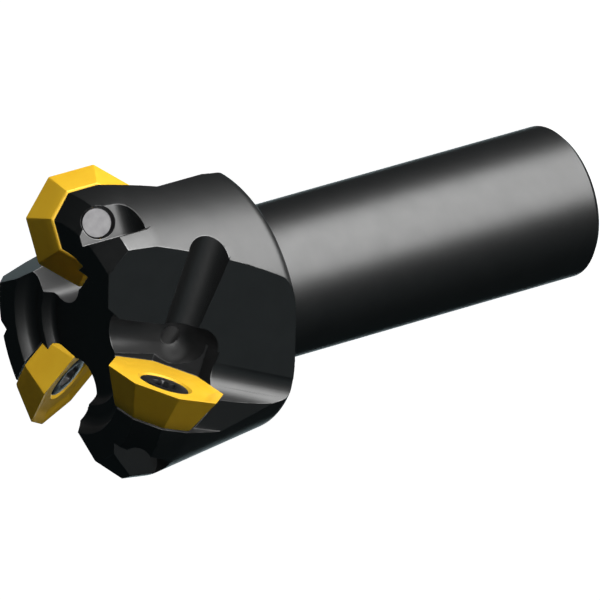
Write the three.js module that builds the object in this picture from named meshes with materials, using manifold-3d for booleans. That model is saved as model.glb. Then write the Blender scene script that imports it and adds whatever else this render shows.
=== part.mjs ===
// A cylindrical-shank face mill with three octagonal indexable inserts, built as an assembly.
// Millimetres, +Z along the tool axis towards the cutting end.
// The origin is the centre of the shank's end face, and tooth 1 points along +X.
import * as THREE from "three";
import { mergeVertices } from "three/addons/utils/BufferGeometryUtils.js";
import Module from "manifold-3d";

const wasm = await Module();
wasm.setup();

const deg = THREE.MathUtils.degToRad;

// Overall sizes
const OVERALL_LENGTH = 95; // shank end to the cutting plane
const SHANK_RADIUS = 12.5;
const SHANK_CHAMFER = 1;
const HEAD_LENGTH = 31.3; // rear face of the head to the cutting plane
const HEAD_REAR_RADIUS = 21.3; // cone radius at the head's rear face, before its edge is rounded
const HEAD_CONE_ANGLE = deg(6.64); // the cone opens towards the cutting end
const HEAD_REAR_ROUND = 2.6;
const FRONT_SETBACK = 0.7; // the head's front face lies this far behind the cutting plane
const BAND_SETBACK = 8.4; // the cone turns into a shallow band this far behind the cutting plane
const BAND_ANGLE = deg(7.8); // the band closes towards the cutting end
const FRONT_CHAMFER_RADIUS = 19.6; // where the front chamfer leaves the front face
const FRONT_CHAMFER_ANGLE = deg(50); // measured from the tool axis
const DISH_RADIUS = 15.2; // dish turned in the front face
const DISH_DEPTH = 2.5;
const DISH_ANGLE = deg(27); // of its wall, measured from the tool axis
const DISH_COVE = 2; // rounding where its wall meets its floor
const RECESS_RADIUS = 11.2; // recess in the floor of the dish
const RECESS_DEPTH = 1.7;
const RECESS_ANGLE = deg(30);
const RECESS_COVE = 1;

// Teeth
const TEETH = 3;
const AXIAL_RAKE = deg(21);
const RADIAL_RAKE = deg(7.3);
const INSERT_RADIAL = 16.62; // tool axis to the centre of the insert's rake face
const CLEARANCE_GAP = 0.3; // between an insert or screw and the steel around it

// Insert: an octagon with a flank clearance angle, a chip groove and a countersunk hole
const INSERT_CIRCLE = 17.94; // diameter of the inscribed circle
const INSERT_THICKNESS = 6.1;
const INSERT_CLEARANCE = deg(25);
const RIM_WIDTH = 1.1;
const GROOVE_DEPTH = 0.55;
const GROOVE_SLOPE_WIDTH = 1.3;
const SINK_ANGLE = deg(30); // half angle of the countersink

// Insert screw
const SCREW_RADIUS = 2.5;
const SCREW_HEAD_RADIUS = 3.95;
const SCREW_HEAD_SINK = 0.75; // top of the head below the rake plane
const SCREW_HEAD_RIM = 0.5; // straight part of the head above its cone
const SCREW_END_DEPTH = 10.9; // end of the screw below the rake plane
const SCREW_END_CHAMFER = 0.3;
const SOCKET_RADIUS = 2.1;
const SOCKET_DEPTH = 1.6;
const SOCKET_LOBES = 6;
const SOCKET_WAVE = 0.14; // depth of the socket's lobes as a share of its radius

// Chip space in front of each tooth
const FLAT_TURN = deg(6.3); // the gullet flat's normal, turned ahead of the tooth
const FLAT_TILT = deg(14.1); // and tilted towards the cutting end
const FLAT_OFFSET = 12.7; // tool axis to the flat, square to the flat at the insert's centre
const SLOT_RADIUS = 4.1; // ball-nosed slot along the rake face
const SLOT_HEIGHT = 4.5; // slot centre line above the rake plane, at its rear end
const SLOT_DIP = deg(5.2); // the slot runs nearer to the rake plane towards the cutting end
const SLOT_DEPTH = 11; // deepest line of the slot, inward from the insert's centre
const SLOT_END = 4.9; // end of the slot's centre line behind the insert's centre
const FLUTE_RADIUS = 3.5; // shallow flute from the slot to the head's rear face
const FLUTE_HEIGHT = 2.6; // flute's centre line above the rake plane
const FLUTE_SINK = 0.15; // flute's bottom below the gullet flat
const SHELF = 2.95; // flat behind the insert, outward from the insert's centre
const KEY_GROOVE_RADIUS = 3.7; // lets the screwdriver reach the screw
const KEY_GROOVE_SHIFT = 0.95; // groove behind the screw axis
const POCKET_RISE = 5.3; // straight upper wall of the pocket above the rake plane, for lifting the insert out
const COOLANT_RADIUS = 1.3; // hole from the bore to the wall of the slot
const COOLANT_START = 23.7; // where the hole's axis leaves the tool axis, behind the cutting plane
const COOLANT_OUTLET = 1.2; // hole's axis behind the rear end of the slot's centre line, on its wall
const COOLANT_DROP = 0.7; // and below that centre line
const BORE_RADIUS = 2.5; // coolant bore along the shank
const BORE_END = 20.7; // bottom of the bore, behind the cutting plane

// Seat behind each insert
const SPOT_DEPTH = 12.4; // face around the back of the screw hole, below the rake plane
const SPOT_STEP = 3; // the face ends this far inward of the screw axis
const SPOT_ROUND = 3.4;
const SPOT_END = 2.9; // start of the rounded end behind the screw axis

const STEEL = new THREE.MeshStandardMaterial({ color: 0x1b1f21, roughness: 0.4, metalness: 0.8, flatShading: true });
const COATING = new THREE.MeshStandardMaterial({ color: 0xe0ac28, roughness: 0.35, metalness: 0.7, flatShading: true });
const SCREW_STEEL = new THREE.MeshStandardMaterial({ color: 0x8b8d92, roughness: 0.35, metalness: 0.9 });

const FAR = 60; // longer than any cut has to be
const COVE_STEPS = 3; // flats that make up a cove
const Z_AXIS = new THREE.Vector3(0, 0, 1);

// A closed three.js geometry as a solid, moved by matrix.
function solid(geometry, matrix) {
  const copy = geometry.clone();
  copy.deleteAttribute("normal");
  copy.deleteAttribute("uv");
  if (matrix) copy.applyMatrix4(matrix);
  const merged = mergeVertices(copy, 1e-4);
  const vertProperties = merged.attributes.position.array;
  const triVerts = new Uint32Array(merged.index.array);
  return new wasm.Manifold(new wasm.Mesh({ numProp: 3, vertProperties, triVerts }));
}

// A solid as a geometry.
function geometryOf(body) {
  const mesh = body.getMesh();
  const points = new Float32Array(mesh.numVert * 3);
  for (let i = 0; i < mesh.numVert; i++) {
    points.set(mesh.vertProperties.subarray(i * mesh.numProp, i * mesh.numProp + 3), i * 3);
  }
  const geometry = new THREE.BufferGeometry();
  geometry.setAttribute("position", new THREE.BufferAttribute(points, 3));
  geometry.setIndex(new THREE.BufferAttribute(mesh.triVerts, 1));
  geometry.computeVertexNormals();
  return geometry;
}

// A frame with its axes along x, y and z and its origin at point, as a matrix.
function frameAt(point, x, y, z) {
  return new THREE.Matrix4().makeBasis(x, y, z).setPosition(point);
}

// A box between two corners, in a frame.
function box(low, high, frame) {
  const size = [0, 1, 2].map((i) => high[i] - low[i]);
  const middle = [0, 1, 2].map((i) => (high[i] + low[i]) / 2);
  const shape = new THREE.BoxGeometry(...size).translate(...middle);
  return solid(shape, frame);
}

// A round bar along the frame's Z, from low to high.
function bar(radius, low, high, frame, sides = 48) {
  const shape = new THREE.CylinderGeometry(radius, radius, high - low, sides);
  shape.rotateX(Math.PI / 2).translate(0, 0, (low + high) / 2);
  return solid(shape, frame);
}

// A solid of revolution about the frame's Z from [radius, height] points that start and end on it.
function turned(profile, frame, sides = 96) {
  const points = profile.map(([r, h]) => new THREE.Vector2(r, h));
  const shape = new THREE.LatheGeometry(points, sides).rotateX(Math.PI / 2);
  return solid(shape, frame);
}

// An octagonal frustum along the frame's Z, its flats square to X and Y.
function octagon(lowApothem, highApothem, low, high, frame) {
  const corner = 1 / Math.cos(Math.PI / 8);
  const shape = new THREE.CylinderGeometry(highApothem * corner, lowApothem * corner, high - low, 8);
  shape.rotateY(Math.PI / 8).rotateX(Math.PI / 2).translate(0, 0, (low + high) / 2);
  return solid(shape, frame);
}

// Insert frame of a tooth on +X: X runs along the insert towards the cutting end, Y outwards,
// Z square to the rake face. Its origin is the centre of the rake face.
const insertPlane = OVERALL_LENGTH - (Math.cos(AXIAL_RAKE) * INSERT_CIRCLE) / 2;
const outward = new THREE.Vector3(Math.cos(RADIAL_RAKE), Math.sin(RADIAL_RAKE), 0);
const ahead = new THREE.Vector3(-Math.sin(RADIAL_RAKE), Math.cos(RADIAL_RAKE), 0);
const rake = ahead.clone().multiplyScalar(Math.cos(AXIAL_RAKE));
rake.addScaledVector(Z_AXIS, -Math.sin(AXIAL_RAKE));
const along = outward.clone().cross(rake);
const insertFrame = frameAt(new THREE.Vector3(INSERT_RADIAL, 0, insertPlane), along, outward, rake);

// Cutter body before the teeth are cut: shank, coned head, rounded rear edge and front chamfer.
const rearFace = OVERALL_LENGTH - HEAD_LENGTH;
const frontFace = OVERALL_LENGTH - FRONT_SETBACK;
const coneGrowth = Math.tan(HEAD_CONE_ANGLE);
const coneRadius = (z) => HEAD_REAR_RADIUS + (z - rearFace) * coneGrowth;

function bodyBlank() {
  const profile = [
    [0, 0],
    [SHANK_RADIUS - SHANK_CHAMFER, 0],
    [SHANK_RADIUS, SHANK_CHAMFER],
    [SHANK_RADIUS, rearFace],
  ];
  const roundCentre = coneRadius(rearFace + HEAD_REAR_ROUND) - HEAD_REAR_ROUND / Math.cos(HEAD_CONE_ANGLE);
  const steps = 5;
  for (let i = 0; i <= steps; i++) {
    const angle = -Math.PI / 2 + (i / steps) * (Math.PI / 2 - HEAD_CONE_ANGLE);
    profile.push([
      roundCentre + HEAD_REAR_ROUND * Math.cos(angle),
      rearFace + HEAD_REAR_ROUND * (1 + Math.sin(angle)),
    ]);
  }
  const bandStart = OVERALL_LENGTH - BAND_SETBACK;
  const bandSlope = Math.tan(BAND_ANGLE);
  const bandRadius = (z) => coneRadius(bandStart) - (z - bandStart) * bandSlope;
  profile.push([coneRadius(bandStart), bandStart]);
  // The chamfer and the band meet where both give the same radius.
  const slope = Math.tan(FRONT_CHAMFER_ANGLE);
  const chamferEnd = frontFace - (bandRadius(frontFace) - FRONT_CHAMFER_RADIUS) / (slope - bandSlope);
  profile.push([bandRadius(chamferEnd), chamferEnd]);
  profile.push([FRONT_CHAMFER_RADIUS, frontFace]);
  profile.push([0, frontFace]);
  return turned(profile);
}

// Rounded foot of a turned wall: an arc from the floor, which lies depth below top, up to where it
// runs into the wall. The wall leans outward by angle and reaches radius at top.
function coveProfile(radius, top, depth, angle, cove) {
  const centre = radius - depth * Math.tan(angle) - cove / Math.tan(Math.PI / 4 + angle / 2);
  const points = [];
  for (let step = 0; step <= COVE_STEPS; step += 1) {
    const turn = ((Math.PI / 2 - angle) * step) / COVE_STEPS;
    points.push([centre + cove * Math.sin(turn), top - depth + cove * (1 - Math.cos(turn))]);
  }
  return points;
}

// Dish and recess in the front face, both with conical walls.
function frontDish() {
  const floor = frontFace - DISH_DEPTH;
  return turned([
    [0, floor - RECESS_DEPTH],
    ...coveProfile(RECESS_RADIUS, floor, RECESS_DEPTH, RECESS_ANGLE, RECESS_COVE),
    [RECESS_RADIUS, floor],
    ...coveProfile(DISH_RADIUS, frontFace, DISH_DEPTH, DISH_ANGLE, DISH_COVE),
    [DISH_RADIUS + Math.tan(DISH_ANGLE), frontFace + 1],
    [0, frontFace + 1],
  ]);
}

// Gullet flat: all that lies past a plane facing outward and a little forward. Its near edge runs
// parallel to the rake face, FLUTE_HEIGHT above it, and the flute runs along that edge.
function gulletFlat() {
  const normal = new THREE.Vector3(1, 0, 0);
  normal.applyAxisAngle(new THREE.Vector3(0, 1, 0), -FLAT_TILT).applyAxisAngle(Z_AXIS, FLAT_TURN);
  const edge = new THREE.Vector3().crossVectors(rake, normal).normalize();
  const across = new THREE.Vector3().crossVectors(normal, edge);
  const centre = new THREE.Vector3(INSERT_RADIAL, 0, insertPlane);
  const height = normal.dot(new THREE.Vector3(INSERT_RADIAL, 0, 0)) - FLAT_OFFSET;
  const foot = centre.clone().addScaledVector(normal, -height);
  foot.addScaledVector(across, (FLUTE_HEIGHT - foot.clone().sub(centre).dot(rake)) / across.dot(rake));
  const frame = frameAt(foot, edge, across, normal);
  const flat = box([-FAR, 0, 0], [FAR, FAR, FAR], frame);
  // Turned so that the bar's length runs along the edge, towards the rear.
  const flute = frameAt(foot.clone().addScaledVector(normal, FLUTE_RADIUS - FLUTE_SINK), across, normal, edge);
  return flat.add(bar(FLUTE_RADIUS, 0, FAR, flute));
}

// Frame of the slot: X runs along it towards the cutting end, from its rear end; Y points outward.
const slotFrame = insertFrame
  .clone()
  .multiply(new THREE.Matrix4().makeTranslation(-SLOT_END, 0, SLOT_HEIGHT))
  .multiply(new THREE.Matrix4().makeRotationY(SLOT_DIP));

// Ball-nosed slot in front of the rake face: it opens outward and forward.
function chipSlot() {
  const floor = SLOT_RADIUS - SLOT_DEPTH;
  const corner = new THREE.Vector3(0, floor, 0);
  const [x, y, z] = [new THREE.Vector3(1, 0, 0), new THREE.Vector3(0, 1, 0), Z_AXIS];
  const lengthwise = slotFrame.clone().multiply(frameAt(corner, y, z, x));
  const endwise = slotFrame.clone().multiply(frameAt(corner, z, x, y));
  const ball = new THREE.SphereGeometry(SLOT_RADIUS, 48, 24).rotateX(Math.PI / 2);
  return bar(SLOT_RADIUS, 0, FAR, lengthwise)
    .add(bar(SLOT_RADIUS, 0, FAR, endwise))
    .add(solid(ball, endwise))
    .add(box([0, floor, -SLOT_RADIUS], [FAR, FAR, SLOT_RADIUS], slotFrame));
}

// Pocket that holds the insert, open upward, outward and forward.
function insertPocket() {
  const apothem = INSERT_CIRCLE / 2 + CLEARANCE_GAP / Math.cos(INSERT_CLEARANCE);
  const bottom = apothem - (INSERT_THICKNESS + CLEARANCE_GAP) * Math.tan(INSERT_CLEARANCE);
  const seat = -INSERT_THICKNESS - CLEARANCE_GAP;
  return octagon(bottom, apothem, seat, 0, insertFrame)
    .add(octagon(apothem, apothem, -0.01, POCKET_RISE, insertFrame))
    .add(box([-FAR, SHELF, seat], [FAR, FAR, POCKET_RISE], insertFrame));
}

// Face square to the screw at the back of the tooth, with a rounded end.
function spotFace() {
  const round = insertFrame.clone().multiply(
    frameAt(
      new THREE.Vector3(-SPOT_END, 0, -SPOT_DEPTH - SPOT_ROUND),
      new THREE.Vector3(0, 0, 1),
      new THREE.Vector3(1, 0, 0),
      new THREE.Vector3(0, 1, 0),
    ),
  );
  return box([-SPOT_END, -SPOT_STEP, -FAR / 2], [FAR, FAR, -SPOT_DEPTH], insertFrame)
    .add(box([-SPOT_END - SPOT_ROUND, -SPOT_STEP, -FAR / 2], [FAR, FAR, -SPOT_DEPTH - SPOT_ROUND], insertFrame))
    .add(bar(SPOT_ROUND, -SPOT_STEP, FAR, round));
}

// Groove beside the slot, square to the rake face, for the screwdriver.
function keyGroove() {
  const place = new THREE.Matrix4().makeTranslation(-KEY_GROOVE_SHIFT, 0, 0);
  return bar(KEY_GROOVE_RADIUS, SLOT_HEIGHT, FAR, insertFrame.clone().multiply(place));
}

// Hole from the bore to the inner wall of the slot.
function coolantHole() {
  const start = new THREE.Vector3(0, 0, OVERALL_LENGTH - COOLANT_START);
  const outlet = new THREE.Vector3(-COOLANT_OUTLET, -SLOT_DEPTH + SLOT_RADIUS / 4, -COOLANT_DROP);
  const direction = outlet.applyMatrix4(slotFrame).sub(start);
  const turn = new THREE.Quaternion().setFromUnitVectors(Z_AXIS, direction.clone().normalize());
  const frame = new THREE.Matrix4().makeRotationFromQuaternion(turn).setPosition(start);
  return bar(COOLANT_RADIUS, 0, direction.length() + COOLANT_RADIUS, frame, 32);
}

const screwHoleRadius = SCREW_RADIUS + CLEARANCE_GAP;

// All that is cut away for the tooth on +X.
function toothCuts() {
  return gulletFlat()
    .add(chipSlot())
    .add(insertPocket())
    .add(spotFace())
    .add(keyGroove())
    .add(coolantHole())
    .add(bar(screwHoleRadius, -FAR / 4, 0, insertFrame));
}

const toothTurn = (tooth) => new THREE.Matrix4().makeRotationZ((2 * Math.PI * tooth) / TEETH);

function cutterBody() {
  let body = bodyBlank();
  const cuts = geometryOf(toothCuts());
  for (let tooth = 0; tooth < TEETH; tooth++) {
    body = body.subtract(solid(cuts, toothTurn(tooth)));
  }
  const bore = bar(BORE_RADIUS, -1, OVERALL_LENGTH - BORE_END, new THREE.Matrix4());
  return body.subtract(frontDish()).subtract(bore);
}

// Octagonal insert: flanks with a clearance angle, a chip groove inside the rim, a countersunk hole.
function insertBody(frame) {
  const apothem = INSERT_CIRCLE / 2;
  const bottom = apothem - INSERT_THICKNESS * Math.tan(INSERT_CLEARANCE);
  const grooveTop = apothem - RIM_WIDTH;
  const over = 0.5; // the groove cutter carries on above the rake face
  const slope = GROOVE_SLOPE_WIDTH / GROOVE_DEPTH;
  const groove = octagon(grooveTop - GROOVE_SLOPE_WIDTH, grooveTop + over * slope, -GROOVE_DEPTH, over, frame);
  const sinkSlope = Math.tan(SINK_ANGLE);
  const headGap = CLEARANCE_GAP / Math.cos(SINK_ANGLE);
  const headDepth = SCREW_HEAD_SINK + SCREW_HEAD_RIM;
  const sinkRadius = SCREW_HEAD_RADIUS + headGap + (headDepth - GROOVE_DEPTH) * sinkSlope;
  const sinkEnd = -GROOVE_DEPTH - (sinkRadius - screwHoleRadius) / sinkSlope;
  const hole = turned(
    [
      [0, -INSERT_THICKNESS - 1],
      [screwHoleRadius, -INSERT_THICKNESS - 1],
      [screwHoleRadius, sinkEnd],
      [sinkRadius, -GROOVE_DEPTH],
      [sinkRadius, 1],
      [0, 1],
    ],
    frame,
    48,
  );
  return octagon(bottom, apothem, -INSERT_THICKNESS, 0, frame).subtract(groove).subtract(hole);
}

// Countersunk screw with a lobed socket.
function insertScrew(frame) {
  const top = -SCREW_HEAD_SINK;
  const coneTop = top - SCREW_HEAD_RIM;
  const coneEnd = coneTop - (SCREW_HEAD_RADIUS - SCREW_RADIUS) / Math.tan(SINK_ANGLE);
  const screw = turned(
    [
      [0, -SCREW_END_DEPTH],
      [SCREW_RADIUS - SCREW_END_CHAMFER, -SCREW_END_DEPTH],
      [SCREW_RADIUS, -SCREW_END_DEPTH + SCREW_END_CHAMFER],
      [SCREW_RADIUS, coneEnd],
      [SCREW_HEAD_RADIUS, coneTop],
      [SCREW_HEAD_RADIUS, top],
      [0, top],
    ],
    frame,
    48,
  );
  const outline = [];
  const steps = SOCKET_LOBES * 8;
  for (let i = 0; i < steps; i++) {
    const angle = (2 * Math.PI * i) / steps;
    const radius = SOCKET_RADIUS * (1 - SOCKET_WAVE / 2 + (SOCKET_WAVE / 2) * Math.cos(SOCKET_LOBES * angle));
    outline.push(new THREE.Vector2(radius * Math.cos(angle), radius * Math.sin(angle)));
  }
  const depth = SOCKET_DEPTH + 1;
  const socket = new THREE.ExtrudeGeometry(new THREE.Shape(outline), { depth, bevelEnabled: false });
  socket.translate(0, 0, top - SOCKET_DEPTH);
  return screw.subtract(solid(socket, frame));
}

function namedMesh(name, body, material) {
  const mesh = new THREE.Mesh(geometryOf(body), material);
  mesh.name = name;
  return mesh;
}

const mill = new THREE.Group();
mill.add(namedMesh("cutter_body", cutterBody(), STEEL));
for (let tooth = 0; tooth < TEETH; tooth++) {
  const station = new THREE.Group();
  station.applyMatrix4(toothTurn(tooth).multiply(insertFrame));
  const home = new THREE.Matrix4();
  station.add(namedMesh(`insert_${tooth + 1}`, insertBody(home), COATING));
  station.add(namedMesh(`insert_screw_${tooth + 1}`, insertScrew(home), SCREW_STEEL));
  mill.add(station);
}

export default mill;
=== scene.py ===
"""A cylindrical-shank face mill: dark steel body, three coated octagonal inserts, three screws.

Shapes are worked out in millimetres and written to the meshes in metres, in the frame of the
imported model: +Z along the tool axis towards the cutting end, the origin at the shank's end face.
"""

import math

import bmesh
import bpy
import numpy as np
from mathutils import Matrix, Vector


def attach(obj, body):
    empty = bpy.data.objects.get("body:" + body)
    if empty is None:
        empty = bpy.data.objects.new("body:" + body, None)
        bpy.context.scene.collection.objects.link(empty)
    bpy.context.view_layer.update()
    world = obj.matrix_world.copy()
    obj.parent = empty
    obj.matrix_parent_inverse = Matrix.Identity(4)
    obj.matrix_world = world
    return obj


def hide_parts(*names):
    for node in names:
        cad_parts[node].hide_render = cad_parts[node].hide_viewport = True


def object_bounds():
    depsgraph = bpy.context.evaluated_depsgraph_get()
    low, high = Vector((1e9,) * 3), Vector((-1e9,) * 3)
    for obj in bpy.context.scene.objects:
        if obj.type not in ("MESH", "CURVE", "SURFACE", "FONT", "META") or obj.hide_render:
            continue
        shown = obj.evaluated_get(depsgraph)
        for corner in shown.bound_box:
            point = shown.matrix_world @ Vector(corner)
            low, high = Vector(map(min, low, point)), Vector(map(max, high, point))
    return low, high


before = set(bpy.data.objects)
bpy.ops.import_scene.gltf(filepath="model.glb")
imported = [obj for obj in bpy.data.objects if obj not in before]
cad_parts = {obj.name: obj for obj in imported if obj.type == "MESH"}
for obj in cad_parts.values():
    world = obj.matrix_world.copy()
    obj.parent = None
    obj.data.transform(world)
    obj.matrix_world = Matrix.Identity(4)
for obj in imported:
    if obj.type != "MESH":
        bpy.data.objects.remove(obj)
cad_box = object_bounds()

MM = 0.001
TEETH = 3

# Turned body
OVERALL_LENGTH = cad_box[1][2] / MM
SHANK_RADIUS = 12.5
SHANK_CHAMFER = 1.0
HEAD_LENGTH = 31.3
HEAD_REAR_RADIUS = 21.3
HEAD_CONE = math.radians(6.64)
HEAD_REAR_ROUND = 2.6
NECK_FILLET = 1.2  # between the shank and the head's rear face
BAND_SETBACK = 8.4
BAND_ANGLE = math.radians(7.8)
FRONT_SETBACK = 0.7
FRONT_CHAMFER_RADIUS = 19.6
FRONT_CHAMFER_ANGLE = math.radians(50)
DISH_RADIUS = 15.2
DISH_DEPTH = 2.5
DISH_ANGLE = math.radians(27)
DISH_COVE = 2.0
RECESS_RADIUS = 11.2
RECESS_DEPTH = 1.7
RECESS_ANGLE = math.radians(30)
RECESS_COVE = 1.0
BORE_RADIUS = 2.5
BORE_END = 20.7
BORE_SINK = 0.8  # depth of the countersunk mouth

# Teeth
AXIAL_RAKE = math.radians(21)
RADIAL_RAKE = math.radians(7.3)
INSERT_RADIAL = 16.62
CLEARANCE = 0.3

# Insert
INSERT_CIRCLE = 17.94
INSERT_THICKNESS = 6.1
INSERT_CLEARANCE = math.radians(25)
CORNER_RADIUS = 0.5
LAND_WIDTH = 0.4  # flat rim between the cutting edge and the chip groove
GROOVE_DEPTH = 0.55
GROOVE_WIDTH = 2.0
HONE = 0.05  # rounding of the cutting edge
HOLE_PLAY = 0.25  # between the screw's thread and the insert's hole
SINK_PLAY = 0.45  # between the screw's head and the countersink

# Screw
SCREW_RADIUS = 2.5
SCREW_PITCH = 0.8
THREAD_PLAY = 0.12  # between the thread and its hole in the body
SCREW_HEAD_RADIUS = 3.95
SCREW_HEAD_SINK = 0.75
SCREW_HEAD_RIM = 0.45
SCREW_END_DEPTH = 10.9
THREAD_DEPTH = 0.38
THREAD_RELIEF = 1.2  # plain length between the thread and the head's cone
END_COLLAR = 0.2  # plain length before the thread starts, at the screw's end
SINK_ANGLE = math.radians(30)
SOCKET_RADIUS = 2.1
SOCKET_DEPTH = 1.7
SOCKET_LOBES = 6
SOCKET_WAVE = 0.14

# Chip space
FLAT_TURN = math.radians(6.3)
FLAT_TILT = math.radians(14.1)
FLAT_OFFSET = 12.7
SLOT_RADIUS = 4.1
SLOT_HEIGHT = 4.5
SLOT_DIP = math.radians(5.2)
SLOT_DEPTH = 11.0
SLOT_END = 4.9
FLUTE_RADIUS = 3.5
FLUTE_HEIGHT = 2.6
FLUTE_SINK = 0.15
SHELF = 2.95
KEY_GROOVE_RADIUS = 3.7
KEY_GROOVE_SHIFT = 0.95
POCKET_RISE = 5.3
COOLANT_RADIUS = 1.3
COOLANT_START = 23.7
COOLANT_OUTLET = 1.2
COOLANT_DROP = 0.7
SPOT_DEPTH = 12.4
SPOT_STEP = 3.0
SPOT_ROUND = 3.4
SPOT_END = 2.9

EDGE_BREAK = 0.1  # width of the small chamfer on the body's machined edges
EDGE_BREAK_ANGLE = 28  # edges sharper than this, in degrees, are broken
BODY_CREASE, INSERT_CREASE, SCREW_CREASE = 20, 22, 32  # degrees; sharper edges are shaded hard
FAR = 60.0  # longer than any cut has to be
TIP = 1e-3  # size to which a cutter's end shrinks instead of to a point

X, Y, Z = np.eye(3)


# ---------------------------------------------------------------- surfaces as grids


def unit(vector):
    return vector / np.linalg.norm(vector)


def turn_about_z(points, angle):
    """Points turned about the Z axis."""
    c, s = math.cos(angle), math.sin(angle)
    return points @ np.array([[c, s, 0], [-s, c, 0], [0, 0, 1]])


class Place:
    """A frame: an origin and three axes. at() gives the row-frame points of local ones."""

    def __init__(self, origin, x, y, z):
        self.origin = np.asarray(origin, float)
        self.axes = np.array([x, y, z], float)

    def at(self, points):
        return self.origin + np.asarray(points, float) @ self.axes

    def shifted(self, x, y, z):
        return Place(self.at([x, y, z]), *self.axes)

    def turned(self, angle):
        origin = turn_about_z(self.origin, angle)
        return Place(origin, *(turn_about_z(axis, angle) for axis in self.axes))


WORLD = Place([0, 0, 0], X, Y, Z)


def closed_grid(rows, start, end):
    """A closed surface: rows of points that each close on themselves, joined by quads, with the
    first row fanned to the point start and the last to the point end. Rows run counter-clockwise
    seen from the end point."""
    count, columns, _ = rows.shape
    points = np.vstack([rows.reshape(-1, 3), start, end])
    column = np.arange(columns)
    following = (column + 1) % columns
    base = np.arange(count - 1)[:, None] * columns
    low, low_next = base + column, base + following
    quads = np.stack([low, low_next, low_next + columns, low + columns], -1).reshape(-1, 4)
    first, last = count * columns, count * columns + 1
    top = (count - 1) * columns
    fan_start = np.stack([np.full(columns, first), following, column], -1)
    fan_end = np.stack([np.full(columns, last), top + column, top + following], -1)
    return points, quads.tolist() + fan_start.tolist() + fan_end.tolist()


def mesh_object(name, points, faces):
    """An object whose mesh holds the points, given in millimetres, and the faces."""
    mesh = bpy.data.meshes.new(name)
    mesh.from_pydata((points * MM).tolist(), [], faces)
    mesh.validate()
    body = bpy.data.objects.new(name, mesh)
    bpy.context.scene.collection.objects.link(body)
    return body


def turned_shape(name, profile, place=WORLD, sides=256):
    """Surface of revolution: radius and height along the profile, swept round the place's Z."""
    profile = np.asarray(profile, float)
    angle = np.linspace(0, 2 * math.pi, sides, endpoint=False)
    ring = np.stack([np.cos(angle), np.sin(angle)], -1)
    inner = profile[1:-1]
    rows = np.empty((len(inner), sides, 3))
    rows[..., :2] = inner[:, None, :1] * ring
    rows[..., 2] = inner[:, 1:]
    points, faces = closed_grid(rows, [[0, 0, profile[0, 1]]], [[0, 0, profile[-1, 1]]])
    return mesh_object(name, place.at(points), faces)


def arc(centre, radius, start, end, steps):
    """Points of a circular arc in a profile's plane, angles in radians from the first axis."""
    angle = np.linspace(start, end, steps + 1)
    return (np.asarray(centre) + radius * np.stack([np.cos(angle), np.sin(angle)], -1)).tolist()


def bar(radius, low, high, place, sides=128):
    """Round bar along the place's Z, from low to high."""
    return turned_shape("bar", [(0, low), (radius, low), (radius, high), (0, high)], place, sides)


def prism(outline, low, high, place):
    """A flat outline, counter-clockwise in the place's XY plane, carried straight along its Z."""
    outline = np.asarray(outline, float)
    rows = np.empty((2, len(outline), 3))
    rows[..., :2] = outline
    rows[0, :, 2], rows[1, :, 2] = low, high
    middle = outline.mean(0)
    points, faces = closed_grid(rows, [[*middle, low]], [[*middle, high]])
    return mesh_object("prism", place.at(points), faces)


def block(low, high, place):
    """Box between two corners."""
    (x0, y0, z0), (x1, y1, z1) = low, high
    return prism([(x0, y0), (x1, y0), (x1, y1), (x0, y1)], z0, z1, place)


# ---------------------------------------------------------------- places on the tool

insert_plane = OVERALL_LENGTH - math.cos(AXIAL_RAKE) * INSERT_CIRCLE / 2
outward = np.array([math.cos(RADIAL_RAKE), math.sin(RADIAL_RAKE), 0])
ahead = np.array([-math.sin(RADIAL_RAKE), math.cos(RADIAL_RAKE), 0])
rake = math.cos(AXIAL_RAKE) * ahead - math.sin(AXIAL_RAKE) * Z
along = np.cross(outward, rake)
insert_centre = np.array([INSERT_RADIAL, 0, insert_plane])
INSERT = Place(insert_centre, along, outward, rake)


def slot_place():
    """Frame of the chip slot: X along it, dipping towards the rake plane, Y outward."""
    c, s = math.cos(SLOT_DIP), math.sin(SLOT_DIP)
    start = INSERT.at([-SLOT_END, 0, SLOT_HEIGHT])
    return Place(start, c * along - s * rake, outward, s * along + c * rake)


# ---------------------------------------------------------------- cutter body


def boolean(body, tool, operation="DIFFERENCE"):
    """Cuts the tool from the body or joins it, and removes the tool."""
    step = body.modifiers.new("step", "BOOLEAN")
    step.operation = operation
    step.solver = "MANIFOLD"
    step.object = tool
    with bpy.context.temp_override(object=body, active_object=body):
        bpy.ops.object.modifier_apply(modifier=step.name)
    mesh = tool.data
    bpy.data.objects.remove(tool)
    bpy.data.meshes.remove(mesh)


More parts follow.
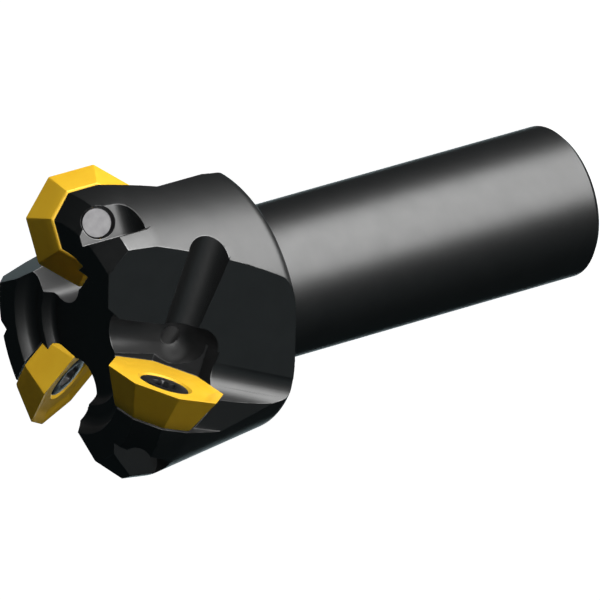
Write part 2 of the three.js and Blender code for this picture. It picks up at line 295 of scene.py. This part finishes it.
def body_blank():
    """The turned shape before the teeth are cut: chamfered shank, neck fillet, rounded rear edge,
    cone, shallow band and front chamfer."""
    rear = OVERALL_LENGTH - HEAD_LENGTH
    front = OVERALL_LENGTH - FRONT_SETBACK
    growth = math.tan(HEAD_CONE)

    def cone(z):
        return HEAD_REAR_RADIUS + (z - rear) * growth

    band_start = OVERALL_LENGTH - BAND_SETBACK
    band_slope = math.tan(BAND_ANGLE)
    slope = math.tan(FRONT_CHAMFER_ANGLE)
    front_radius = cone(band_start) - (front - band_start) * band_slope
    chamfer_end = front - (front_radius - FRONT_CHAMFER_RADIUS) / (slope - band_slope)
    band_end = cone(band_start) - (chamfer_end - band_start) * band_slope
    rounding = cone(rear + HEAD_REAR_ROUND) - HEAD_REAR_ROUND / math.cos(HEAD_CONE)
    cone_rows = np.linspace(rear + HEAD_REAR_ROUND + 1, band_start, 14)
    profile = [
        (0, 0),
        (SHANK_RADIUS - SHANK_CHAMFER, 0),
        (SHANK_RADIUS, SHANK_CHAMFER),
        *arc((SHANK_RADIUS + NECK_FILLET, rear - NECK_FILLET), NECK_FILLET, math.pi, math.pi / 2, 12),
        *arc((rounding, rear + HEAD_REAR_ROUND), HEAD_REAR_ROUND, -math.pi / 2, -HEAD_CONE, 20),
        *((cone(z), z) for z in cone_rows),
        (band_end, chamfer_end),
        (FRONT_CHAMFER_RADIUS, front),
        (0, front),
    ]
    return turned_shape("cutter_body_steel", profile, sides=480)


def cove(radius, top, depth, angle, rounding, steps=12):
    """Foot of a turned wall that leans out by the angle and reaches the radius at the top: an arc
    from the floor, depth below the top, up to where it runs into the wall."""
    centre = radius - depth * math.tan(angle) - rounding / math.tan(math.pi / 4 + angle / 2)
    return arc((centre, top - depth + rounding), rounding, -math.pi / 2, -angle, steps)


def front_dish():
    """Dish in the front face, with a recess inside it: conical walls, coves and flat floors."""
    front = OVERALL_LENGTH - FRONT_SETBACK
    floor = front - DISH_DEPTH
    profile = [
        (0, floor - RECESS_DEPTH),
        *cove(RECESS_RADIUS, floor, RECESS_DEPTH, RECESS_ANGLE, RECESS_COVE),
        (RECESS_RADIUS, floor),
        *cove(DISH_RADIUS, front, DISH_DEPTH, DISH_ANGLE, DISH_COVE),
        (DISH_RADIUS + math.tan(DISH_ANGLE), front + 1),
        (0, front + 1),
    ]
    return turned_shape("dish", profile, sides=300)


def coolant_bore():
    """Bore along the shank with a countersunk mouth and a drill point."""
    end = OVERALL_LENGTH - BORE_END
    profile = [
        (0, -1),
        (BORE_RADIUS + BORE_SINK + 1, -1),
        (BORE_RADIUS, BORE_SINK),
        (BORE_RADIUS, end),
        (0, end + BORE_RADIUS / 2),
    ]
    return turned_shape("bore", profile, sides=96)


def gullet_place():
    """Frame on the gullet flat's near edge: X along the edge towards the rear, Z off the flat."""
    normal = np.array([math.cos(FLAT_TILT), 0, math.sin(FLAT_TILT)])
    normal = turn_about_z(normal, FLAT_TURN)
    edge = unit(np.cross(rake, normal))
    across = np.cross(normal, edge)
    height = normal[0] * INSERT_RADIAL - FLAT_OFFSET
    foot = insert_centre - height * normal
    foot = foot + across * (FLUTE_HEIGHT - (foot - insert_centre) @ rake) / (across @ rake)
    return Place(foot, edge, across, normal)


def flute(gullet):
    """Bar whose lowest line runs along the gullet flat's edge, FLUTE_SINK below the flat."""
    edge, across, normal = gullet.axes
    axis = gullet.origin + (FLUTE_RADIUS - FLUTE_SINK) * normal
    return bar(FLUTE_RADIUS, 0, FAR, Place(axis, across, normal, edge))


def chip_slot(place, steps=48, corner_steps=24):
    """Ball-nosed slot: all points within SLOT_RADIUS of a quarter plane. Each row is the quarter
    plane's outline moved out by radius x cos(angle), at height radius x sin(angle). The first and
    the last row close it on the quarter plane itself."""
    floor = SLOT_RADIUS - SLOT_DEPTH
    angle = np.linspace(-math.pi / 2, math.pi / 2, steps + 1)[1:-1]
    offset = SLOT_RADIUS * np.cos(angle)[:, None]
    turn = np.linspace(-math.pi / 2, -math.pi, corner_steps + 1)
    rows = np.empty((len(angle), corner_steps + 4, 3))
    rows[..., 2] = SLOT_RADIUS * np.sin(angle)[:, None]
    rows[:, 0, :2] = FAR
    rows[:, 1:2, 0] = -offset
    rows[:, 1, 1] = FAR
    rows[:, 2:-1, 0] = offset * np.cos(turn[::-1])
    rows[:, 2:-1, 1] = floor + offset * np.sin(turn[::-1])
    rows[:, -1, 0] = FAR
    rows[:, -1:, 1] = floor - offset
    low, high = rows[:1].copy(), rows[-1:].copy()
    for cap, height in ((low, -SLOT_RADIUS), (high, SLOT_RADIUS)):
        cap[0, 2:-1, :2] = (0, floor)
        cap[0, 2:-1, 0] += TIP * np.cos(turn[::-1])
        cap[0, 2:-1, 1] += TIP * np.sin(turn[::-1])
        cap[0, 1, 0] = -TIP
        cap[0, -1, 1] = floor - TIP
        cap[0, :, 2] = height
    rows = np.concatenate([low, rows, high])
    middle = (FAR / 2, FAR / 2)
    points, faces = closed_grid(rows, [[*middle, -SLOT_RADIUS]], [[*middle, SLOT_RADIUS]])
    return mesh_object("slot", place.at(points), faces)


def octagon_outline(apothem):
    """Corners of an octagon whose flats are square to X and Y."""
    angle = (np.arange(8) + 0.5) * math.pi / 4
    return apothem / math.cos(math.pi / 8) * np.stack([np.cos(angle), np.sin(angle)], -1)


def insert_pocket():
    """Octagonal seat with the insert's own flank angle below the rake plane, straight above it."""
    apothem = INSERT_CIRCLE / 2 + CLEARANCE / math.cos(INSERT_CLEARANCE)
    seat = -INSERT_THICKNESS - CLEARANCE
    bottom = apothem + seat * math.tan(INSERT_CLEARANCE)
    levels = [(bottom, seat), (apothem, 0), (apothem, POCKET_RISE)]
    rows = np.empty((len(levels), 8, 3))
    for row, (size, height) in zip(rows, levels):
        row[:, :2] = octagon_outline(size)
        row[:, 2] = height
    points, faces = closed_grid(rows, [[0, 0, seat]], [[0, 0, POCKET_RISE]])
    return mesh_object("pocket", INSERT.at(points), faces)


def spot_face():
    """Face around the back of the screw hole: a flat and a quarter round, carried outward."""
    round_end = arc((-SPOT_END, -SPOT_DEPTH - SPOT_ROUND), SPOT_ROUND, math.pi / 2, math.pi, 24)
    outline = [(FAR, -SPOT_DEPTH), *round_end, (-SPOT_END - SPOT_ROUND, -FAR), (FAR, -FAR)]
    # In the plane of the insert's X and Z, seen from its +Y, the outline runs clockwise.
    place = Place(INSERT.at([0, 0, 0]), INSERT.axes[0], INSERT.axes[2], -INSERT.axes[1])
    return prism(outline, -FAR, SPOT_STEP, place)


def coolant_hole():
    """Hole from the bore to the inner wall of the slot."""
    start = np.array([0, 0, OVERALL_LENGTH - COOLANT_START])
    outlet = slot_place().at([-COOLANT_OUTLET, -SLOT_DEPTH + SLOT_RADIUS / 4, -COOLANT_DROP])
    direction = unit(outlet - start)
    side = unit(np.cross(direction, X))
    place = Place(start, side, np.cross(direction, side), direction)
    return bar(COOLANT_RADIUS, 0, np.linalg.norm(outlet - start) + COOLANT_RADIUS, place, 64)


def tooth_cutter():
    """All that is cut away for the tooth on +X, joined into one solid."""
    gullet = gullet_place()
    seat = -INSERT_THICKNESS - CLEARANCE
    cutter = block([-FAR, 0, 0], [FAR, FAR, FAR], gullet)
    pieces = [
        flute(gullet),
        chip_slot(slot_place()),
        insert_pocket(),
        block([-FAR, SHELF, seat], [FAR, FAR, POCKET_RISE], INSERT),
        spot_face(),
        bar(KEY_GROOVE_RADIUS, SLOT_HEIGHT, FAR, INSERT.shifted(-KEY_GROOVE_SHIFT, 0, 0)),
        bar(SCREW_RADIUS + THREAD_PLAY, -FAR / 4, 0, INSERT, 96),
        coolant_hole(),
    ]
    for piece in pieces:
        boolean(cutter, piece, "UNION")
    return cutter


def cutter_body():
    """Turned blank less three teeth, the dish and the bore. Its edges are lightly broken after it
    returns.
    """
    body = body_blank()
    cutter = tooth_cutter()
    shape = np.array([v.co for v in cutter.data.vertices])
    for tooth in range(TEETH):
        copy = bpy.data.objects.new("copy", cutter.data.copy())
        bpy.context.scene.collection.objects.link(copy)
        turned = turn_about_z(shape, 2 * math.pi * tooth / TEETH)
        copy.data.vertices.foreach_set("co", turned.astype(np.float32).ravel())
        boolean(body, copy)
    bpy.data.objects.remove(cutter)
    boolean(body, front_dish())
    boolean(body, coolant_bore())
    return body


def tidy_mesh(body, distance=0.015):
    """Merges points closer than the distance, in millimetres, and removes slivers."""
    work = bmesh.new()
    work.from_mesh(body.data)
    bmesh.ops.remove_doubles(work, verts=work.verts, dist=distance * MM)
    bmesh.ops.dissolve_degenerate(work, dist=distance * MM, edges=work.edges)
    work.to_mesh(body.data)
    work.free()


def smooth_by_angle(body, angle):
    """Smooth shading, with edges sharper than the angle, in degrees, kept hard."""
    body.data.shade_smooth()
    body.data.set_sharp_from_angle(angle=math.radians(angle))


# ---------------------------------------------------------------- inserts and screws


def rounded_octagon(apothem, corner, flat_steps=12, corner_steps=6):
    """Outline of an octagon with round corners, as points in order. Each corner is an arc of
    45 degrees about a centre on its bisector, and the points between arcs lie on the flats."""
    eighth = math.pi / 4
    corners = []
    for k in range(8):
        bisector = (k + 0.5) * eighth
        centre = (apothem - corner) / math.cos(math.pi / 8)
        centre = centre * np.array([math.cos(bisector), math.sin(bisector)])
        corners.append(np.array(arc(centre, corner, k * eighth, (k + 1) * eighth, corner_steps)))
    outline = []
    for k in range(8):
        outline.append(corners[k])
        start, end = corners[k][-1], corners[(k + 1) % 8][0]
        share = np.linspace(0, 1, flat_steps + 1)[1:-1, None]
        outline.append(start + (end - start) * share)
    return np.vstack(outline)


def insert_shape(name, place):
    """Octagonal insert. Rows run from the hole's lower end out over the seat face, up the flanks,
    over the honed edge, down the chip groove and into the countersink, and the last row joins the
    first inside the hole. Each row blends the octagon's outline, moved inwards, with a circle."""
    apothem = INSERT_CIRCLE / 2
    flank = math.tan(INSERT_CLEARANCE)
    hole = SCREW_RADIUS + HOLE_PLAY
    sink_top = SCREW_HEAD_RADIUS + SINK_PLAY
    groove = GROOVE_DEPTH
    sink_end = -groove - (sink_top - hole) / math.tan(SINK_ANGLE)
    seat = apothem - INSERT_THICKNESS * flank
    # Rows: (octagon apothem or circle radius, height, roundness from 0 octagon to 1 circle).
    levels = [
        (hole + 0.2, -INSERT_THICKNESS, 1),
        (seat - 0.25, -INSERT_THICKNESS, 0),
        (seat - 0.03, -INSERT_THICKNESS + 0.12, 0),
    ]
    for share in np.linspace(0.08, 0.97, 5):
        levels.append((seat + (apothem - seat) * share, -INSERT_THICKNESS * (1 - share), 0))
    land_end, land_drop = apothem - LAND_WIDTH, 0.02
    levels += [
        (apothem - HONE * 0.55, -HONE * 1.1, 0),
        (apothem - HONE * 0.3, -HONE * 0.35, 0),
        (apothem - HONE, 0, 0),
        (apothem - 0.32, 0, 0),
        (land_end, -land_drop, 0),
    ]
    for share in np.linspace(0.12, 1, 8):
        # Half a cosine wave down from the land to the groove's floor.
        fall = (1 - math.cos(math.pi * share)) / 2
        height = -land_drop - (groove - land_drop) * fall
        levels.append((land_end - GROOVE_WIDTH * share, height, 0.1 * share))
    levels += [
        (sink_top + 0.25, -groove, 1),
        (sink_top + 0.06, -groove - 0.02, 1),
        (sink_top, -groove - 0.12, 1),
    ]
    for share in np.linspace(0.2, 1, 4):
        radius = sink_top + (hole - sink_top) * share
        levels.append((radius, -groove + (sink_end + groove) * share, 1))
    levels.append((hole, -INSERT_THICKNESS + 0.2, 1))
    outline = rounded_octagon(apothem, CORNER_RADIUS)
    direction = outline / np.linalg.norm(outline, axis=1)[:, None]
    rows = np.empty((len(levels), len(outline), 3))
    for row, (size, height, roundness) in zip(rows, levels):
        octagon = rounded_octagon(size, max(CORNER_RADIUS - (apothem - size) * 0.3, 0.15))
        row[:, :2] = (1 - roundness) * octagon + roundness * size * direction
        row[:, 2] = height
    count, columns, _ = rows.shape
    column = np.arange(columns)
    following = (column + 1) % columns
    base = np.arange(count)[:, None] * columns
    above = (np.arange(count)[:, None] + 1) % count * columns
    quads = np.stack([base + column, base + following, above + following, above + column], -1)
    body = mesh_object(name, place.at(rows.reshape(-1, 3)), quads.reshape(-1, 4).tolist())
    smooth_by_angle(body, INSERT_CREASE)
    return body


def screw_shape(name, place, columns=144):
    """Countersunk screw. Rows run from the screw's end up the thread, out over the head and down
    into the socket. The thread's radius follows a clipped triangle wave of height less turn, and
    the socket's radius a cosine wave of its lobes."""
    angle = np.linspace(0, 2 * math.pi, columns, endpoint=False)
    ring = np.stack([np.cos(angle), np.sin(angle)], -1)
    top, rim = -SCREW_HEAD_SINK, SCREW_HEAD_RIM
    root = SCREW_RADIUS - THREAD_DEPTH
    cone_end = top - rim - (SCREW_HEAD_RADIUS - SCREW_RADIUS) / math.tan(SINK_ANGLE)
    thread_top = cone_end - THREAD_RELIEF
    thread_end = -SCREW_END_DEPTH + END_COLLAR
    rows = []

    def ring_row(radius, height):
        row = np.empty((columns, 3))
        row[:, :2] = np.asarray(radius)[..., None] * ring
        row[:, 2] = height
        rows.append(row)

    ring_row(SCREW_RADIUS - 0.25, -SCREW_END_DEPTH)
    ring_row(SCREW_RADIUS - 0.12, -SCREW_END_DEPTH + 0.12)
    for height in np.arange(thread_end, thread_top, SCREW_PITCH / 10):
        phase = (height / SCREW_PITCH - angle / (2 * math.pi)) % 1
        crest = np.clip(2.6 * np.abs(phase - 0.5) - 0.15, 0, 1)
        # The thread grows out of a plain collar at its end, and runs out under the head.
        run_in = np.clip((height + SCREW_END_DEPTH - END_COLLAR) / SCREW_PITCH, 0, 1)
        run_out = np.clip((thread_top - height) / SCREW_PITCH, 0, 1)
        thread = root + (SCREW_RADIUS - root) * crest * run_out
        ring_row(thread * run_in + (SCREW_RADIUS - 0.1) * (1 - run_in), height)
    ring_row(root + 0.02, thread_top)
    ring_row(root + 0.02, cone_end - 0.25)
    ring_row(SCREW_RADIUS - 0.1, cone_end)
    ring_row(SCREW_HEAD_RADIUS - 0.1, top - rim - 0.15)
    ring_row(SCREW_HEAD_RADIUS, top - rim)
    ring_row(SCREW_HEAD_RADIUS, top - 0.2)
    ring_row(SCREW_HEAD_RADIUS - 0.06, top - 0.06)
    ring_row(SCREW_HEAD_RADIUS - 0.2, top)
    lobes = 1 - SOCKET_WAVE / 2 + SOCKET_WAVE / 2 * np.cos(SOCKET_LOBES * angle)
    ring_row(SOCKET_RADIUS * 1.12, top)
    ring_row(SOCKET_RADIUS * lobes * 1.03, top - 0.04)
    ring_row(SOCKET_RADIUS * lobes, top - 0.15)
    for share in (0.5, 1.0):
        ring_row(SOCKET_RADIUS * lobes * (1 - 0.03 * share), top - SOCKET_DEPTH * share)
    ring_row(SOCKET_RADIUS * 0.72, top - SOCKET_DEPTH - 0.1)
    start, end = [[0, 0, -SCREW_END_DEPTH]], [[0, 0, top - SOCKET_DEPTH - 0.45]]
    points, faces = closed_grid(np.array(rows), start, end)
    body = mesh_object(name, place.at(points), faces)
    smooth_by_angle(body, SCREW_CREASE)
    return body


# ---------------------------------------------------------------- materials


def material(name):
    """A new node material: returns it with its node tree and its shader."""
    made = bpy.data.materials.new(name)
    made.use_nodes = True
    return made, made.node_tree, made.node_tree.nodes["Principled BSDF"]


def noise(tree, scale, detail=3.0, stretch=(1, 1, 1)):
    """Noise on Object coordinates in metres, stretched along the axes. Returns its value socket."""
    coordinate = tree.nodes.new("ShaderNodeTexCoord")
    mapping = tree.nodes.new("ShaderNodeMapping")
    mapping.inputs["Scale"].default_value = stretch
    texture = tree.nodes.new("ShaderNodeTexNoise")
    texture.inputs["Scale"].default_value = scale
    texture.inputs["Detail"].default_value = detail
    tree.links.new(coordinate.outputs["Object"], mapping.inputs["Vector"])
    tree.links.new(mapping.outputs["Vector"], texture.inputs["Vector"])
    return texture.outputs["Fac"]


def ramp(tree, value, stops):
    """Colour ramp of value through (position, colour) stops."""
    node = tree.nodes.new("ShaderNodeValToRGB")
    node.color_ramp.elements.remove(node.color_ramp.elements[0])
    node.color_ramp.elements[0].position = stops[0][0]
    node.color_ramp.elements[0].color = (*stops[0][1], 1)
    for position, colour in stops[1:]:
        node.color_ramp.elements.new(position).color = (*colour, 1)
    tree.links.new(value, node.inputs["Fac"])
    return node.outputs["Color"]


def span(tree, value, low, high):
    """Value from 0..1 mapped to low..high."""
    node = tree.nodes.new("ShaderNodeMapRange")
    node.inputs["To Min"].default_value = low
    node.inputs["To Max"].default_value = high
    tree.links.new(value, node.inputs["Value"])
    return node.outputs["Result"]


def bump(tree, value, depth):
    """Bump of the given depth in metres. Returns its normal socket."""
    node = tree.nodes.new("ShaderNodeBump")
    node.inputs["Distance"].default_value = depth
    node.inputs["Strength"].default_value = 1.0
    tree.links.new(value, node.inputs["Height"])
    return node.outputs["Normal"]


def grey(level, tint=(1, 1, 1)):
    return tuple(level * share for share in tint)


COOL = (0.985, 1.0, 1.01)


def cutter_steel():
    """Dark surface-treated tool steel: satin, with a faint mottle and fine turning lines."""
    made, tree, shader = material("dark_tool_steel")
    mottle = noise(tree, 260, 4)
    colour = ramp(tree, mottle, [(0.3, grey(0.108, COOL)), (0.7, grey(0.118, COOL))])
    tree.links.new(colour, shader.inputs["Base Color"])
    lines = noise(tree, 900, 2, stretch=(0.15, 0.15, 6))
    tree.links.new(span(tree, lines, 0.38, 0.42), shader.inputs["Roughness"])
    tree.links.new(bump(tree, lines, 0.000004), shader.inputs["Normal"])
    shader.inputs["Metallic"].default_value = 1.0
    return made


def edge_wear_and_painted_highlight():
    """Edge steel, lighter and patchy: partly rubbed wear, partly painted highlight on the edges."""
    made, tree, shader = material("rubbed_edge_steel_and_painted_highlight")
    wear_and_highlight = noise(tree, 500, 3)
    # Lighter base colour than the body: painted highlight on the edge lines, mixed with patchy wear.
    colour = ramp(tree, wear_and_highlight, [(0.3, grey(0.09, COOL)), (0.7, grey(0.2, COOL))])
    tree.links.new(colour, shader.inputs["Base Color"])
    shader.inputs["Metallic"].default_value = 1.0
    shader.inputs["Roughness"].default_value = 0.35
    return made


def insert_coating():
    """Gold nitride coating over sintered carbide: fine grain, slight drift of colour."""
    made, tree, shader = material("gold_nitride_coating")
    drift = noise(tree, 180, 3)
    colour = ramp(tree, drift, [(0.3, (0.93, 0.54, 0.022)), (0.7, (0.98, 0.6, 0.03))])
    tree.links.new(colour, shader.inputs["Base Color"])
    grain = noise(tree, 6000, 2)
    tree.links.new(span(tree, grain, 0.42, 0.5), shader.inputs["Roughness"])
    tree.links.new(bump(tree, grain, 0.000002), shader.inputs["Normal"])
    shader.inputs["Metallic"].default_value = 0.2
    return made


def screw_steel():
    """Bright hardened steel with fine rolled lines."""
    made, tree, shader = material("bright_screw_steel")
    streak = noise(tree, 700, 3)
    colour = ramp(tree, streak, [(0.3, (0.12, 0.12, 0.125)), (0.7, (0.18, 0.18, 0.185))])
    tree.links.new(colour, shader.inputs["Base Color"])
    tree.links.new(span(tree, streak, 0.25, 0.4), shader.inputs["Roughness"])
    shader.inputs["Metallic"].default_value = 1.0
    return made


# ---------------------------------------------------------------- the pieces

steel, edge_steel = cutter_steel(), edge_wear_and_painted_highlight()
coating, bright = insert_coating(), screw_steel()

body = cutter_body()
tidy_mesh(body)
body.data.materials.clear()
body.data.materials.append(steel)
body.data.materials.append(edge_steel)
chamfer = body.modifiers.new("edge_break", "BEVEL")
chamfer.width = EDGE_BREAK * MM
chamfer.segments = 2
chamfer.limit_method = "ANGLE"
chamfer.angle_limit = math.radians(EDGE_BREAK_ANGLE)
chamfer.use_clamp_overlap = False
# The bevel's faces get the lighter edge material: partly wear, partly painted highlight.
chamfer.material = 1
chamfer.harden_normals = False
with bpy.context.temp_override(object=body, active_object=body):
    bpy.ops.object.modifier_apply(modifier=chamfer.name)
smooth_by_angle(body, BODY_CREASE)
weighted = body.modifiers.new("face_normals", "WEIGHTED_NORMAL")
weighted.keep_sharp = True
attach(body, "cutter")
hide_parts("cutter_body")

for tooth in range(TEETH):
    place = INSERT.turned(2 * math.pi * tooth / TEETH)
    number = tooth + 1
    insert = insert_shape(f"coated_insert_{number}", place)
    insert.data.materials.append(coating)
    insert.visible_glossy = False
    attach(insert, f"insert_{number}")
    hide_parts(f"insert_{number}")
    screw = screw_shape(f"lobed_screw_{number}", place)
    screw.data.materials.append(bright)
    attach(screw, f"screw_{number}")
    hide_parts(f"insert_screw_{number}")


# ---------------------------------------------------------------- stage, light and camera


ROOM_RADIUS = 2900.0  # of the floor and of the round backdrop over it
FLOOR_DROP = 0.05  # the floor lies this far under the tool
LAMP_DISTANCE = 1000.0
WARM = (1, 0.985, 0.97)
COLD = (0.75, 0.95, 1)


def pale_stage(name, points, faces):
    """A part of the stage that glows evenly and neither shades nor reflects in the tool."""
    stage = mesh_object(name, points, faces)
    made, _, shader = material(name + "_paint")
    shader.inputs["Base Color"].default_value = (0.85, 0.85, 0.85, 1)
    shader.inputs["Roughness"].default_value = 0.9
    shader.inputs["Emission Color"].default_value = (1, 1, 1, 1)
    shader.inputs["Emission Strength"].default_value = 1.0
    stage.data.materials.append(made)
    stage.visible_glossy = False
    stage.visible_diffuse = False
    stage.visible_shadow = False


def pale_room():
    """Flat disc just under the tool, and a dome over it: rings of points whose radius is the
    room's radius x cos(height angle) and whose height is the radius x sin(height angle)."""
    sides = 96
    angle = np.linspace(0, 2 * math.pi, sides, endpoint=False)
    ring = np.stack([np.cos(angle), np.sin(angle), np.zeros(sides)], -1)
    pale_stage("pale_floor", ROOM_RADIUS * ring - FLOOR_DROP * Z, [list(range(sides))])
    rise = np.linspace(-0.1, math.pi / 2, 24, endpoint=False)[:, None, None]
    rows = ROOM_RADIUS * (np.cos(rise) * ring + np.sin(rise) * Z)
    points, faces = closed_grid(rows, [[0, 0, rows[0, 0, 2]]], [[0, 0, ROOM_RADIUS]])
    pale_stage("pale_backdrop", points, faces)


def soft_light(name, direction, half_angle, radiance, colour):
    """Round area light that faces the middle of the tool and fills the half angle, in degrees,
    seen from it. A disc's power is its radiance times its area times pi."""
    lamp = bpy.data.lights.new(name, "AREA")
    radius = LAMP_DISTANCE * MM * math.tan(math.radians(half_angle))
    lamp.shape = "DISK"
    lamp.size = 2 * radius
    lamp.energy = radiance * math.pi * math.pi * radius**2
    light = bpy.data.objects.new(name, lamp)
    bpy.context.scene.collection.objects.link(light)
    away = Vector(unit(np.asarray(direction, float)))
    middle = Vector((0, 0, OVERALL_LENGTH / 2))
    light.location = middle * MM + away * LAMP_DISTANCE * MM
    light.rotation_euler = away.to_track_quat("Z", "Y").to_euler()
    lamp.color = colour
    # The parts don't shade each other, so the pockets and slots stay readable.
    lamp.use_shadow = False
    light.visible_camera = False
    return light


def studio():
    """Very dim surroundings and five lamps: a wide key from the front and below, one from the +X
    side, one from the front that only shows in reflections, one from behind and a weak fill."""
    world = bpy.data.worlds.new("studio")
    bpy.context.scene.world = world
    world.use_nodes = True
    surroundings = world.node_tree.nodes["Background"]
    surroundings.inputs["Color"].default_value = (0.6, 0.9, 1, 1)
    surroundings.inputs["Strength"].default_value = 0.02
    soft_light("key", (0.54, -0.67, -0.51), 36, 3.6, WARM)
    soft_light("side", (0.85, -0.5, 0.1), 20, 4.6, WARM)
    front = soft_light("front", (0.11, -0.97, 0.19), 18, 3.2, WARM)
    front.visible_diffuse = False
    soft_light("back", (-0.12, 0.85, -0.51), 17, 1.7, COLD)
    soft_light("left_fill", (-0.77, -0.63, -0.1), 20, 0.1, COLD)


def main_camera():
    """Long lens, at azimuth 8.1 and elevation 30.7 degrees, rolled so that the tool lies down."""
    azimuth, elevation, roll = (math.radians(a) for a in (8.1, 30.7, -106.0))
    ca, sa, ce, se = math.cos(azimuth), math.sin(azimuth), math.cos(elevation), math.sin(elevation)
    back = np.array([sa * ce, -ca * ce, se])
    level = np.array([ca, sa, 0])
    upright = np.cross(back, level)
    right = math.cos(roll) * level + math.sin(roll) * upright
    up = np.cross(back, right)
    aim = np.array([-4.27, 1.33, OVERALL_LENGTH - 44.7])
    lens, sensor, width = 800.0, 36.0, 95.3
    place = aim + back * width * lens / sensor
    data = bpy.data.cameras.new("camera")
    data.lens, data.sensor_width = lens, sensor
    data.clip_start, data.clip_end = 0.1, 20
    camera = bpy.data.objects.new("camera", data)
    bpy.context.scene.collection.objects.link(camera)
    camera.matrix_world = Matrix.LocRotScale(
        Vector(place) * MM, Matrix(np.array([right, up, back]).T.tolist()).to_quaternion(), None
    )
    bpy.context.scene.camera = camera


pale_room()
studio()
main_camera()
bpy.context.scene.view_settings.view_transform = "Standard"
